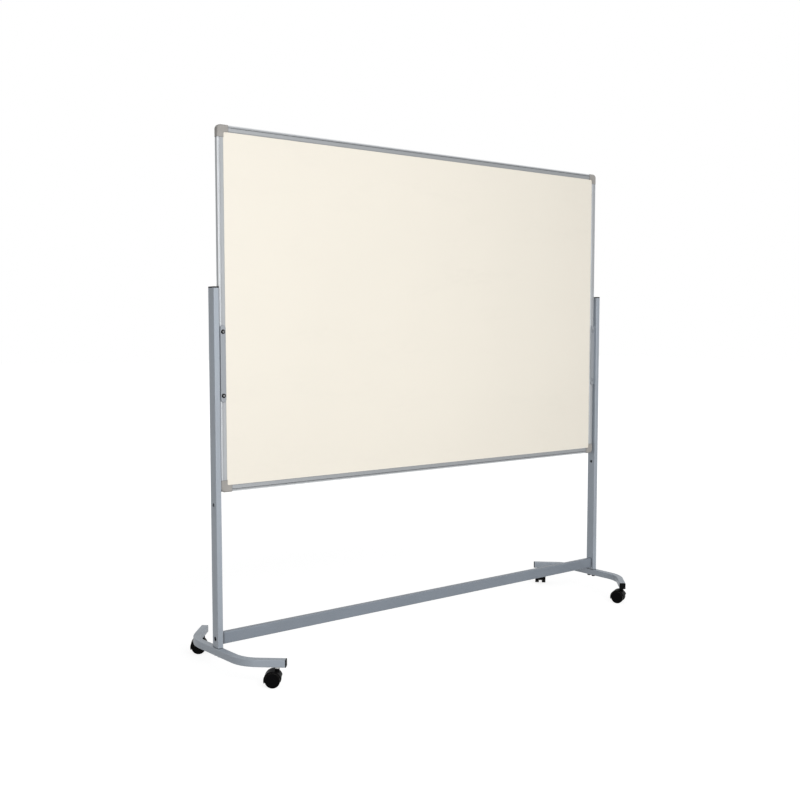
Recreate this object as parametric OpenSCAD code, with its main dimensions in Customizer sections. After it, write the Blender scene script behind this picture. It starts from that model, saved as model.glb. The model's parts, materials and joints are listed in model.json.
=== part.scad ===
// Rolling whiteboard: a framed board clamped between two posts that stand on bent tube feet with castors.
// Millimetres. X runs along the board, Y from its front to its back and Z up.
// The origin is on the floor, under the middle of the board.

/* [Board] */
// Width of the framed board
board_w = 1800; // [1200:50:2400]
// Height of the framed board
board_h = 1200; // [900:50:1500]
// Height of the board's lower edge above the floor
board_bottom = 610; // [520:5:700]
// Thickness of the steel writing sheet
surface_t = 0.6; // [0.4:0.1:1.2]
// Thickness of the stiff core behind the sheet
core_t = 13; // [9:0.5:18]
// Thickness of the sheet on the back of the core
backing_t = 0.4; // [0.3:0.1:1]

/* [Board frame] */
// Width of a bar's front face
frame_face = 23; // [20:0.5:32]
// Rounding of a bar's outer edges
frame_r = 5; // [3:0.5:7]
// Thickness of the lips in front of and behind the panel
lip_t = 3; // [2:0.5:5]
// How far the panel goes into a bar
channel_depth = 6; // [3:0.5:8]
// Wall of the hollow chamber in a bar
chamber_wall = 1.8; // [1.2:0.1:2.4]
// Distance of the front groove from the outer edge
groove_at = 8; // [6:0.5:12]
// Width of the front groove
groove_w = 2; // [0.6:0.1:2.4]
// Depth of the front groove
groove_depth = 1; // [0.4:0.1:1.1]
// How far the inner band of the face falls back towards the panel
bevel_drop = 0.8; // [0.2:0.1:1.2]
// Width of the chamfer along a bar's inner front edge
lip_chamfer = 2.2; // [1:0.1:3]

/* [Corner caps] */
// Length of a cap's arms along the bars
cap_arm = 40; // [34:1:60]
// Radius of the board's outer corners
corner_r = 15; // [8:0.5:18]
// Radius of the cap's inner corner
cap_inner_r = 5; // [2:0.5:9]
// How far a cap stands proud of the bars
cap_proud = 0.6; // [0.2:0.1:1.5]
// Length of the spigots inside the bars
spigot_l = 26; // [16:1:40]
// Gap round a spigot
spigot_gap = 0.15; // [0.05:0.05:0.4]
// Diameter of the corner cap screws
cap_screw_d = 3; // [2:0.5:4]

/* [Board clamps] */
// Width of a clamp strap
strap_w = 20; // [14:0.5:22]
// Thickness of a clamp strap
strap_t = 4; // [3:0.5:6]
// Length of a clamp strap
strap_l = 254; // [180:1:320]
// Height of a strap's middle above the board's lower edge
strap_rise = 426; // [220:1:520]
// Rounding of a strap's front edges
strap_edge_r = 1.5; // [0.5:0.1:2.5]
// Distance between a strap's two screws
clamp_pitch = 210; // [100:1:220]
// Diameter of the clamp screws
clamp_screw_d = 4; // [3:0.5:6]
// Room between a clamp screw and the chamber's inner wall
clamp_margin = 2.2; // [1:0.1:3]
// Outer diameter of the black cup washers
washer_d = 15; // [12:0.5:18]
// Height of the cup washers
washer_h = 2.6; // [2:0.1:4]
// Thickness of the steel angle behind the board
bracket_t = 3; // [2:0.5:4]
// Depth of the angle's leg on the post
bracket_web = 26; // [18:1:32]
// Distance between an angle's two screws
bracket_pitch = 130; // [60:1:150]
// Diameter of the angle's screws
bracket_screw_d = 5; // [4:0.5:6]

/* [Posts and rail] */
// Depth of a post from front to back
upright_d = 40; // [34:1:50]
// Width of a post along the board
upright_w = 20; // [18:1:30]
// Length of a post
upright_l = 1192; // [1120:1:1600]
// Gap between the board's edge and a post
upright_gap = 4.5; // [4.5:0.5:15]
// Wall of the post and rail tubes
tube_wall = 1.5; // [1.2:0.1:2]
// Outer corner radius of the post and rail tubes
tube_r = 3; // [2.2:0.1:5]
// Diameter of the accessory hole through each post
accessory_d = 12; // [8:0.5:16]
// Distance of the accessory holes below the board
accessory_drop = 40; // [20:1:200]
// Height of the rail
rail_h = 40; // [24:1:60]
// Depth of the rail from front to back
rail_d = 20; // [16:1:32]
// Clear height between the feet and the rail
rail_clear = 10; // [6:1:60]
// Thickness of the rail plug's flange
rail_flange_t = 2; // [1.5:0.5:6]
// Diameter of the rail bolts
rail_bolt_d = 8; // [6:0.5:8]
// Diameter of the access holes for the rail bolts
access_d = 16; // [14:0.5:18]
// Height of the post caps above the tube
post_cap_t = 4.5; // [2:0.5:6]
// Gap round the plugs in the tubes
plug_gap = 0.1; // [0.05:0.05:0.3]

/* [Feet] */
// Side of the square foot tube
foot_side = 25; // [22:0.5:32]
// Wall of the foot tube
foot_wall = 2; // [1.5:0.1:2.5]
// Outer corner radius of the foot tube
foot_r = 3; // [2.6:0.1:5]
// Length of a foot's straight middle
foot_straight = 200; // [140:2:400]
// Radius of a foot's bends, to the middle of the tube
foot_bend_r = 120; // [60:1:160]
// Angle of a foot's bends
foot_bend = 45; // [20:1:80]
// Length of a foot's straight ends
foot_end = 92; // [60:1:140]
// Angle by which the left foot's front end is turned inwards under its post
left_foot_turn = 4.4; // [-8:0.1:8]
// Angle by which the right foot's front end is turned inwards under its post
right_foot_turn = -2; // [-8:0.1:8]
// Height of the black caps on the foot tube's ends
foot_cap_t = 3; // [2:0.5:6]
// Distance between the two bolts under a post
base_pitch = 24; // [20:1:26]
// Diameter of the bolts under a post
base_bolt_d = 8; // [6:0.5:8]
// Thickness of the flange between a post and its foot
base_flange_t = 1.5; // [1:0.1:4]

/* [Castors] */
// Diameter of a wheel
wheel_d = 50; // [40:1:60]
// Width of one wheel
wheel_w = 16.5; // [14:0.5:22]
// Width of the hood's middle wall between the wheels
web_w = 12; // [11:0.5:16]
// Gap between a wheel and the middle wall
wheel_gap = 0.5; // [0.3:0.1:1]
// Gap between the wheels and the hood
hood_gap = 1.5; // [1:0.1:3]
// Thickness of the hood
hood_t = 3; // [2:0.1:4]
// Slope of the hood's lower edge
hood_slope = 17; // [0:1:30]
// Distance from the stem to the axle
castor_offset = 14; // [8:0.5:16]
// Height of the neck between the hood and the foot
neck_h = 10.5; // [8:0.5:20]
// Distance from a foot tube's end to the castor's stem
castor_inset = 27; // [24:1:40]
// Diameter of the axle
axle_d = 6; // [4:0.5:8]
// Diameter of the stem in its socket
stem_d = 11; // [9:0.5:12]
// Diameter of the pin that the hood turns on
pintle_d = 8; // [6:0.5:8]
// Running clearance of the hoods and the wheels
running = 0.05; // [0.02:0.01:0.1]
// Direction in which the front left castor trails
front_left_turn = 142; // [0:1:359]
// Direction in which the front right castor trails
front_right_turn = 115; // [0:1:359]
// Direction in which the back left castor trails
back_left_turn = 150; // [0:1:359]
// Direction in which the back right castor trails
back_right_turn = 225; // [0:1:359]

/* [Hidden] */
$fn = 48;
// Length by which a cut passes the face that it goes through
over = 1;

// Board and frame, measured from the frame's front outer edge
panel_t = surface_t + core_t + backing_t;
frame_d = panel_t + 2 * lip_t;
frame_front = -frame_d / 2;
board_mid = board_bottom + board_h / 2;
channel_at = frame_face - channel_depth;
chamber_w = channel_at - 2 * chamber_wall;
chamber_d = frame_d - 2 * chamber_wall;
chamber_r = min(frame_r - chamber_wall, chamber_w / 2 - chamber_wall);
panel_w = board_w - 2 * channel_at;
panel_h = board_h - 2 * channel_at;
lip_edge = 0.4;
cap_screw_at = spigot_l / 2;
cap_screw_l = chamber_wall + chamber_d / 2;
cap_head_r = 1.1 * cap_screw_d;
cap_head_t = 0.6 * cap_screw_d;

// Clamps
strap_at = channel_at - chamber_wall - clamp_margin - clamp_screw_d / 2;
strap_x = board_w / 2 - strap_at;
strap_z = board_bottom + strap_rise;
clamp_play = 0.4;
clamp_hole_r = clamp_screw_d / 2 + clamp_play / 2;
clamp_head_r = 0.9 * clamp_screw_d;
clamp_crown_t = 0.2 * clamp_screw_d;
clamp_nut_w = 1.67 * clamp_screw_d;
clamp_nut_h = 0.85 * clamp_screw_d;
clamp_tail = 2;
washer_rim = 1;
bracket_leg = upright_gap + strap_at + strap_w / 2;
bracket_fold_in = 1;
bracket_fold_r = bracket_t + bracket_fold_in;
bracket_corner_r = 8;
bracket_land = 0.5;
bracket_head_t = bracket_t - bracket_land;
bracket_head_r = bracket_screw_d / 2 + bracket_head_t;
insert_wall = 2;
insert_r = bracket_screw_d / 2 + insert_wall;
insert_l = 11;
insert_bulge = 1.5;
insert_bulge_h = 3;

// Castors, from the floor up
wheel_r = wheel_d / 2;
wheel_in = web_w / 2 + wheel_gap;
hood_in_r = wheel_r + hood_gap;
hood_r = hood_in_r + hood_t;
hood_inset = 0.5;
hood_w = 2 * (wheel_in + wheel_w - hood_inset);
hood_land = 0.6;
hood_edge_r = hood_t - hood_land;
web_under = 6;
web_drop = axle_d / 2 + web_under;
castor_h = wheel_r + hood_r + neck_h;
socket_flange_t = 2;
socket_lap = 4;
socket_flange_r = stem_d / 2 + socket_lap;
socket_wall = 1.5;
socket_room = 1.5;
socket_top = castor_h + foot_side - foot_wall - socket_room;
collar_t = 2.5;
collar_lap = 2;
collar_r = stem_d / 2 + collar_lap;
collar_z = castor_h - socket_flange_t - collar_t;
swivel_gap = 0.3;
boss_r = collar_r;
boss_top = collar_z - swivel_gap;
pintle_end = wheel_r + 0.3 * hood_r + axle_d;
ring_t = 1.2;
ring_out = 0.6;
ring_rise = 1.5;
ring_z = pintle_end + ring_rise;
tread_r = 2;
rim_t = 3.5;
hub_wall = 4.5;
hub_r = axle_d / 2 + hub_wall;
disc_t = 3;
disc_back = 2;
hub_back = 0.8;
axle_room = 3;
rib_count = 6;
rib_t = 1.5;

// Feet and posts
foot_top = castor_h + foot_side;
foot_z = castor_h + foot_side / 2;
upright_in = board_w / 2 + upright_gap;
upright_x = upright_in + upright_w / 2;
upright_bottom = foot_top + base_flange_t;
upright_top = upright_bottom + upright_l;
foot_x = upright_in + foot_side / 2;
stem_run = foot_end - castor_inset;
stem_x = foot_x - foot_bend_r * (1 - cos(foot_bend)) - stem_run * sin(foot_bend);
stem_y = foot_straight / 2 + foot_bend_r * sin(foot_bend) + stem_run * cos(foot_bend);
plug_l = 15;
cap_edge_r = 1.4;
base_play = 0.4;
base_head_w = 13 / 8 * base_bolt_d;
base_head_h = 0.66 * base_bolt_d;

// Rail
rail_z = foot_top + rail_clear + rail_h / 2;
rail_half = upright_in - rail_flange_t;
rail_plug_l = 28;
rail_play = 0.4;
rail_head_r = 0.8 * rail_bolt_d;
rail_head_h = rail_bolt_d;
rail_key_w = 0.75 * rail_bolt_d;
accessory_z = board_bottom - accessory_drop;
base_plug_room = 3;
base_plug_l = rail_z - access_d / 2 - base_plug_room - upright_bottom;

// Colours
cream = [0.97, 0.94, 0.88];
board_brown = [0.72, 0.6, 0.44];
backing_grey = [0.8, 0.81, 0.82];
aluminium = [0.72, 0.74, 0.75];
cap_grey = [0.65, 0.64, 0.63];
stand_grey = [0.58, 0.62, 0.68];
black = [0.06, 0.06, 0.07];
zinc = [0.7, 0.71, 0.72];
black_steel = [0.12, 0.12, 0.13];

// Each castor's name, its side (-1 left), its end (-1 front) and the way it trails
castors = [
    ["front_left", -1, -1, front_left_turn],
    ["front_right", 1, -1, front_right_turn],
    ["back_left", -1, 1, back_left_turn],
    ["back_right", 1, 1, back_right_turn],
];
castor_pieces = ["_foot_cap", "_stem", "_hood", "_axle", "_wheel_a", "_wheel_b"];

// Places

// The right side as drawn, or the left side as its mirror image
module on_side(s) {
    if (s < 0)
        mirror([1, 0, 0]) children();
    else
        children();
}

// How far a side's foot is turned, its front end inwards
function foot_turn(s) = s < 0 ? left_foot_turn : right_foot_turn;

// A castor's stem on the floor, carried about its post with the foot
function stem_at(c) =
    let (
        a = -c[1] * foot_turn(c[1]),
        x = c[1] * (stem_x - upright_x),
        y = c[2] * stem_y
    )
    [c[1] * upright_x + x * cos(a) - y * sin(a), x * sin(a) + y * cos(a), 0];

// The back as drawn, or the front as its mirror image
module on_end(f) {
    if (f < 0)
        mirror([0, 1, 0]) children();
    else
        children();
}

// An edge of the board: X points into the board, Y back, Z along the edge
module on_board_edge(turn, half) {
    translate([0, frame_front, board_mid])
        rotate([0, turn, 0])
            translate([-half, 0, 0])
                children();
}

// A corner of the board: X and Z run along its two edges, Y back
module on_board_corner(sx, sz, turn) {
    translate([sx * board_w / 2, frame_front, board_mid + sz * board_h / 2])
        rotate([0, turn, 0])
            children();
}

// Both arms of a corner cap, drawn along Z
module both_arms() {
    children();
    mirror([1, 0, -1]) children();
}

// The four clamp screws' places on the frame's front, Z to the front
module on_clamps(sides = [-1, 1]) {
    for (s = sides, k = [-1, 1])
        translate([s * strap_x, frame_front, strap_z + k * clamp_pitch / 2])
            rotate([90, 0, 0])
                children();
}

// Two places on the right post's inner face for the angle's screws, Z to the board
module on_bracket() {
    for (k = [-1, 1])
        translate([upright_in, 0, strap_z + k * bracket_pitch / 2])
            rotate([0, -90, 0])
                children();
}

// The rail's place on the right post's inner face, Z to the rail
module on_rail_end() {
    translate([upright_in, 0, rail_z])
        rotate([0, -90, 0])
            children();
}

// The right foot's frame, turned about its post for the side s
module turned(s) {
    translate([upright_x, 0, 0])
        rotate([0, 0, -foot_turn(s)])
            translate([-upright_x, 0, 0])
                children();
}

// The two bolts' places under the right post, on the foot's underside
module on_base() {
    for (k = [-1, 1])
        translate([upright_x, k * base_pitch / 2, castor_h])
            children();
}

// The end of the right foot's back bend, Y along the straight end
module past_bend() {
    translate([foot_x - foot_bend_r, foot_straight / 2, foot_z])
        rotate([0, 0, foot_bend])
            translate([foot_bend_r, 0, 0])
                children();
}

// A castor's place on the floor under its stem, X the way it trails
module on_castor(c) {
    translate(stem_at(c))
        rotate([0, 0, c[3]])
            children();
}

// A castor's axle, Z along it to the side s
module on_axle(c, s) {
    on_castor(c)
        translate([castor_offset, 0, wheel_r])
            rotate([-90 * s, 0, 0])
                children();
}

// Sections and shapes that repeat

// Rectangle with round corners, its middle at the origin
module round_rect(w, h, r) {
    square([w - 2 * r, h], center = true);
    square([w, h - 2 * r], center = true);
    for (x = [-1, 1], y = [-1, 1])
        translate([x * (w / 2 - r), y * (h / 2 - r)])
            circle(r);
}

// Wall of a rectangular tube
module tube_section(w, h, r, wall) {
    difference() {
        round_rect(w, h, r);
        round_rect(w - 2 * wall, h - 2 * wall, r - wall);
    }
}

// Head of a plug: the tube's outline with its top edges rounded
module plug_head(w, h, r, t) {
    intersection() {
        linear_extrude(t)
            round_rect(w, h, r);
        rotate([90, 0, 0])
            linear_extrude(h + over, center = true)
                round_rect(w, 2 * t, cap_edge_r);
        rotate([90, 0, 90])
            linear_extrude(w + over, center = true)
                round_rect(h, 2 * t, cap_edge_r);
    }
}

// Body of a plug inside a tube, down from the origin
module plug_body(w, h, r, wall, l) {
    inset = 2 * (wall + plug_gap);
    translate([0, 0, -l])
        linear_extrude(l)
            round_rect(w - inset, h - inset, r - wall - plug_gap);
}

// Six-sided prism, w across its flats
module hexagon(w, h) {
    cylinder(d = w / cos(30), h = h, $fn = 6);
}

// Outline of a bar: X in from the outer edge, Y back from the front, grown on its three free sides
module frame_outline(grow) {
    r = frame_r + grow;
    translate([frame_r, -grow])
        square([frame_face - frame_r, frame_d + 2 * grow]);
    translate([-grow, frame_r])
        square([r, frame_d - 2 * frame_r]);
    for (y = [frame_r, frame_d - frame_r])
        translate([frame_r, y])
            circle(r);
}

// Hollow of a bar, shrunk by a gap where a spigot fills it
module chamber(gap) {
    translate([channel_at / 2, frame_d / 2])
        round_rect(chamber_w - 2 * gap, chamber_d - 2 * gap, chamber_r - gap);
}

// Section of a bar: chamber, channel for the panel, front groove, sloping inner band and chamfered edge
module frame_section() {
    band_at = groove_at + groove_w;
    difference() {
        frame_outline(0);
        chamber(0);
        translate([channel_at, lip_t])
            square([channel_depth + over, panel_t]);
        translate([groove_at, -over])
            square([groove_w, groove_depth + over]);
        polygon([
            [band_at, -over],
            [frame_face + over, -over],
            [frame_face + over, lip_t - lip_edge],
            [frame_face, lip_t - lip_edge],
            [frame_face - lip_chamfer, bevel_drop],
            [band_at, 0],
        ]);
    }
}

// Places of a cap screw on the back of an arm's spigot, Z to the front
module on_spigot() {
    translate([channel_at / 2, frame_d, cap_arm + cap_screw_at])
        rotate([90, 0, 0])
            children();
}

// Board

// A sheet of the panel, from a depth behind the frame's front
module panel_sheet(depth, t) {
    translate([-panel_w / 2, frame_front + depth, board_mid - panel_h / 2])
        cube([panel_w, t, panel_h]);
}

module writing_surface() {
    color(cream)
        panel_sheet(lip_t, surface_t);
}

module core_panel() {
    color(board_brown)
        panel_sheet(lip_t + surface_t, core_t);
}

module backing_sheet() {
    color(backing_grey)
        panel_sheet(lip_t + surface_t + core_t, backing_t);
}

// A bar of the frame, cut for the corner caps' screws at both ends
module frame_bar(turn, half, side_l) {
    l = side_l - 2 * cap_arm;
    on_board_edge(turn, half)
        difference() {
            translate([0, 0, -l / 2])
                linear_extrude(l)
                    frame_section();
            for (k = [-1, 1])
                translate([channel_at / 2, frame_d + over, k * (l / 2 - cap_screw_at)])
                    rotate([90, 0, 0])
                        cylinder(d = cap_screw_d, h = chamber_wall + 2 * over);
        }
}

module frame_top() {
    color(aluminium)
        frame_bar(90, board_h / 2, board_w);
}

module frame_bottom() {
    color(aluminium)
        frame_bar(270, board_h / 2, board_w);
}

// A side bar, drilled for the clamp screws
module frame_side(s) {
    color(aluminium)
        difference() {
            frame_bar(s < 0 ? 0 : 180, board_w / 2, board_h);
            on_clamps([s])
                translate([0, 0, -frame_d - over])
                    cylinder(r = clamp_hole_r, h = frame_d + 2 * over);
        }
}

module corner_cap(sx, sz, turn) {
    deep = frame_d + 2 * cap_proud;
    color(cap_grey)
        on_board_corner(sx, sz, turn)
            difference() {
                union() {
                    // Round outer corner
                    translate([corner_r, 0, corner_r])
                        rotate([-90, 0, 0])
                            rotate([0, 0, 90])
                                rotate_extrude(angle = 90)
                                    translate([corner_r, 0])
                                        mirror([1, 0])
                                            intersection() {
                                                frame_outline(cap_proud);
                                                translate([-over - cap_proud, -over - cap_proud])
                                                    square([corner_r + over + cap_proud, deep + 2 * over]);
                                            }
                    // Arms and the spigots in the bars
                    both_arms() {
                        translate([0, 0, corner_r])
                            linear_extrude(cap_arm - corner_r)
                                frame_outline(cap_proud);
                        translate([0, 0, cap_arm])
                            linear_extrude(spigot_l)
                                chamber(spigot_gap);
                    }
                    // Fillet between the arms
                    translate([frame_face, -cap_proud, frame_face])
                        difference() {
                            cube([cap_inner_r, deep, cap_inner_r]);
                            translate([cap_inner_r, -over, cap_inner_r])
                                rotate([-90, 0, 0])
                                    cylinder(r = cap_inner_r, h = deep + 2 * over);
                        }
                }
                // Slot for the panel's corner
                translate([channel_at, lip_t, channel_at])
                    cube([cap_arm, panel_t, cap_arm]);
                // Screw holes in the spigots
                both_arms()
                    on_spigot()
                        cylinder(d = cap_screw_d, h = cap_screw_l);
            }
}

module corner_cap_screws() {
    color(zinc)
        for (k = [[-1, -1, 0], [-1, 1, 90], [1, 1, 180], [1, -1, 270]])
            on_board_corner(k[0], k[1], k[2])
                both_arms()
                    on_spigot() {
                        cylinder(d = cap_screw_d, h = cap_screw_l);
                        translate([0, 0, -cap_head_t])
                            cylinder(r1 = cap_head_r - cap_head_t / 2, r2 = cap_head_r, h = cap_head_t);
                    }
}

// Clamps

// Half of a strap's section, with its front edge rounded
module strap_half() {
    square([strap_w / 2 - strap_edge_r, strap_t]);
    square([strap_w / 2, strap_t - strap_edge_r]);
    translate([strap_w / 2 - strap_edge_r, strap_t - strap_edge_r])
        circle(strap_edge_r);
}

module clamp_strap(s) {
    run = strap_l - strap_w;
    color(stand_grey)
        difference() {
            translate([s * strap_x, frame_front, strap_z])
                rotate([90, 0, 0]) {
                    rotate([90, 0, 0])
                        linear_extrude(run, center = true) {
                            strap_half();
                            mirror([1, 0]) strap_half();
                        }
                    for (k = [-1, 1])
                        translate([0, k * run / 2, 0])
                            rotate_extrude()
                                intersection() {
                                    strap_half();
                                    square([strap_w, strap_t]);
                                }
                }
            on_clamps([s])
                translate([0, 0, -over])
                    cylinder(r = clamp_hole_r, h = strap_t + 2 * over);
        }
}

// Cup that the screw's head sits in, its wall sloping in to the rim
module clamp_washers() {
    color(black)
        on_clamps()
            translate([0, 0, strap_t])
                rotate_extrude()
                    polygon([
                        [clamp_hole_r, 0],
                        [washer_d / 2, 0],
                        [washer_d / 2 - washer_rim, washer_h],
                        [clamp_head_r, washer_h],
                        [clamp_hole_r, washer_rim],
                    ]);
}

// Countersunk screw with a low crown, through strap, bar and angle
module clamp_screws() {
    head_z = strap_t + washer_h;
    cone_h = washer_h - washer_rim;
    reach = frame_d + bracket_t + clamp_nut_h + clamp_tail;
    color(zinc)
        on_clamps() {
            translate([0, 0, -reach])
                cylinder(d = clamp_screw_d, h = reach + head_z);
            translate([0, 0, head_z - cone_h])
                cylinder(r1 = clamp_hole_r, r2 = clamp_head_r, h = cone_h);
            translate([0, 0, head_z])
                cylinder(r1 = clamp_head_r, r2 = clamp_head_r / 2, h = clamp_crown_t);
        }
}

module clamp_nuts() {
    color(zinc)
        on_clamps()
            translate([0, 0, -frame_d - bracket_t - clamp_nut_h])
                difference() {
                    hexagon(clamp_nut_w, clamp_nut_h);
                    translate([0, 0, -over])
                        cylinder(d = clamp_screw_d, h = clamp_nut_h + 2 * over);
                }
}

// Section of the angle: one leg behind the bar, one on the post, rounded at the fold
module angle_section() {
    back = -frame_front + bracket_t;
    difference() {
        union() {
            translate([upright_in - bracket_leg, back - bracket_t])
                square([bracket_leg, bracket_t]);
            translate([upright_in - bracket_t, back - bracket_web])
                square([bracket_t, bracket_web]);
        }
        translate([upright_in - bracket_fold_r, back - bracket_fold_r])
            difference() {
                square(bracket_fold_r + over);
                circle(bracket_fold_r);
            }
    }
}

// The angle seen from the front, its free corners round
module bracket_outline() {
    r = bracket_corner_r;
    translate([upright_in - bracket_leg, -strap_l / 2]) {
        translate([r, 0])
            square([bracket_leg - r + over, strap_l]);
        translate([0, r])
            square([2 * r, strap_l - 2 * r]);
        for (z = [r, strap_l - r])
            translate([r, z])
                circle(r);
    }
}

module board_bracket(s) {
    color(stand_grey)
        on_side(s)
            difference() {
                translate([0, 0, strap_z])
                    intersection() {
                        linear_extrude(strap_l + over, center = true)
                            angle_section();
                        rotate([90, 0, 0])
                            linear_extrude(2 * bracket_web, center = true)
                                bracket_outline();
                    }
                on_clamps([1])
                    translate([0, 0, -frame_d - bracket_t - over])
                        cylinder(r = clamp_hole_r, h = bracket_t + 2 * over);
                on_bracket()
                    bracket_screw();
            }
}

// Countersunk screw through the angle into its insert
module bracket_screw() {
    translate([0, 0, -insert_l])
        cylinder(d = bracket_screw_d, h = insert_l + bracket_t);
    translate([0, 0, bracket_t - bracket_head_t])
        cylinder(d1 = bracket_screw_d, r2 = bracket_head_r, h = bracket_head_t);
}

module bracket_screws() {
    color(zinc)
        for (s = [-1, 1])
            on_side(s)
                on_bracket()
                    bracket_screw();
}

// Rivet nuts, swollen behind the post's wall
module bracket_inserts() {
    color(zinc)
        for (s = [-1, 1])
            on_side(s)
                on_bracket()
                    difference() {
                        union() {
                            translate([0, 0, -insert_l])
                                cylinder(r = insert_r, h = insert_l);
                            translate([0, 0, -tube_wall - insert_bulge_h])
                                cylinder(r = insert_r + insert_bulge, h = insert_bulge_h);
                        }
                        translate([0, 0, -insert_l - over])
                            cylinder(d = bracket_screw_d, h = insert_l + 2 * over);
                    }
}

// Posts and rail

module upright(s) {
    color(stand_grey)
        on_side(s)
            difference() {
                translate([upright_x, 0, upright_bottom])
                    linear_extrude(upright_l)
                        tube_section(upright_w, upright_d, tube_r, tube_wall);
                // Accessory hole through both walls
                translate([upright_in - over, 0, accessory_z])
                    rotate([0, 90, 0])
                        cylinder(d = accessory_d, h = upright_w + 2 * over);
                // Rail bolt in the inner wall, and its access hole in the outer wall
                on_rail_end() {
                    translate([0, 0, -tube_wall - over])
                        cylinder(d = rail_bolt_d + rail_play, h = tube_wall + 2 * over);
                    translate([0, 0, -upright_w - over])
                        cylinder(d = access_d, h = tube_wall + 2 * over);
                }
                // Inserts in the inner wall
                on_bracket()
                    translate([0, 0, -tube_wall - over])
                        cylinder(r = insert_r, h = tube_wall + 2 * over);
            }
}

module upright_cap(s) {
    color(black)
        on_side(s)
            translate([upright_x, 0, upright_top]) {
                plug_head(upright_w, upright_d, tube_r, post_cap_t);
                plug_body(upright_w, upright_d, tube_r, tube_wall, plug_l);
            }
}

module cross_rail() {
    color(stand_grey)
        translate([0, 0, rail_z])
            rotate([90, 0, 90])
                linear_extrude(2 * rail_half, center = true)
                    tube_section(rail_d, rail_h, tube_r, tube_wall);
}

// Flanged plug in the rail's end, with a bore for the bolt
module rail_plug(s) {
    color(black)
        on_side(s)
            on_rail_end()
                difference() {
                    union() {
                        linear_extrude(rail_flange_t)
                            round_rect(rail_h, rail_d, tube_r);
                        translate([0, 0, rail_flange_t + rail_plug_l])
                            plug_body(rail_h, rail_d, tube_r, tube_wall, rail_plug_l);
                    }
                    translate([0, 0, -over])
                        cylinder(d = rail_bolt_d, h = rail_flange_t + rail_plug_l + 2 * over);
                }
}

// Socket head bolts, their heads inside the posts
module rail_bolts() {
    reach = tube_wall + rail_flange_t + rail_plug_l;
    color(black_steel)
        for (s = [-1, 1])
            on_side(s)
                on_rail_end()
                    translate([0, 0, -tube_wall])
                        difference() {
                            union() {
                                cylinder(d = rail_bolt_d, h = reach);
                                translate([0, 0, -rail_head_h])
                                    cylinder(r = rail_head_r, h = rail_head_h);
                            }
                            translate([0, 0, -rail_head_h - over])
                                hexagon(rail_key_w, rail_head_h / 2 + over);
                        }
}

// Threaded plug in a post's foot, its flange between the post and the foot tube
module base_plug(s) {
    color(black)
        on_side(s)
            difference() {
                translate([upright_x, 0, foot_top]) {
                    linear_extrude(base_flange_t)
                        round_rect(upright_w, upright_d, tube_r);
                    translate([0, 0, base_flange_t + base_plug_l])
                        plug_body(upright_w, upright_d, tube_r, tube_wall, base_plug_l);
                }
                turned(s)
                    on_base()
                        cylinder(d = base_bolt_d, h = upright_bottom + base_plug_l + over - castor_h);
            }
}

module base_bolts() {
    color(black_steel)
        for (s = [-1, 1])
            on_side(s)
                turned(s)
                    on_base() {
                        cylinder(d = base_bolt_d, h = upright_bottom + base_plug_l - castor_h);
                        translate([0, 0, -base_head_h])
                            hexagon(base_head_w, base_head_h);
                    }
}

// Feet

// A section swept along a straight length and half a bend about Z, which ends on the XZ plane
module into_bend(straight_l) {
    reach = foot_bend_r + foot_side;
    difference() {
        rotate([0, 0, -foot_bend / 2]) {
            translate([foot_bend_r, 0, 0])
                rotate([90, 0, 0])
                    linear_extrude(straight_l)
                        children();
            rotate_extrude(angle = 90)
                translate([foot_bend_r, 0])
                    children();
        }
        translate([0, 0, -foot_side])
            cube([reach, reach, 2 * foot_side]);
    }
}

// A section swept along the right foot, from its middle and from its ends into each bend
module along_foot(end_l) {
    for (f = [-1, 1])
        on_end(f)
            translate([foot_x - foot_bend_r, foot_straight / 2, foot_z])
                rotate([0, 0, foot_bend / 2]) {
                    into_bend(foot_straight / 2 + over)
                        children();
                    mirror([0, 1, 0])
                        into_bend(end_l)
                            children();
                }
}

module foot(s) {
    hollow = foot_side - 2 * foot_wall;
    color(stand_grey)
        on_side(s)
            turned(s)
                difference() {
                    along_foot(foot_end)
                        round_rect(foot_side, foot_side, foot_r);
                    along_foot(foot_end + over)
                        round_rect(hollow, hollow, foot_r - foot_wall);
                    on_base()
                        translate([0, 0, -over])
                            cylinder(d = base_bolt_d + base_play, h = foot_side + 2 * over);
                    for (f = [-1, 1])
                        translate([stem_x, f * stem_y, castor_h - over])
                            cylinder(r = stem_d / 2 + socket_wall, h = foot_wall + 2 * over);
                }
}

module foot_cap(c) {
    color(black)
        on_side(c[1])
            turned(c[1])
                on_end(c[2])
                    past_bend()
                        translate([0, foot_end, 0])
                            rotate([-90, 0, 0]) {
                                plug_head(foot_side, foot_side, foot_r, foot_cap_t);
                                plug_body(foot_side, foot_side, foot_r, foot_wall, plug_l);
                            }
}

// Flanged sleeves in the feet's lower walls
module castor_sockets() {
    color(zinc)
        for (c = castors)
            on_castor(c)
                rotate_extrude() {
                    translate([stem_d / 2, castor_h - socket_flange_t])
                        square([socket_flange_r - stem_d / 2, socket_flange_t]);
                    translate([stem_d / 2, castor_h])
                        square([socket_wall, socket_top - castor_h]);
                }
}

// Castors

// Stem held in its socket, with a collar and the pin that the hood turns on
module castor_stem(c) {
    color(zinc)
        on_castor(c) {
            translate([0, 0, collar_z])
                cylinder(d = stem_d, h = socket_top - collar_z);
            translate([0, 0, collar_z])
                cylinder(r = collar_r, h = collar_t);
            translate([0, 0, pintle_end])
                cylinder(d = pintle_d, h = collar_z - pintle_end);
            translate([0, 0, ring_z])
                cylinder(r = pintle_d / 2 + ring_out, h = ring_t);
        }
}

// The hood's round form about its axle, with rounded edges
module hood_round() {
    rotate([90, 0, 0])
        rotate_extrude()
            intersection() {
                round_rect(2 * hood_r, hood_w, hood_edge_r);
                translate([0, -hood_w])
                    square([hood_r, 2 * hood_w]);
            }
}

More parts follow.
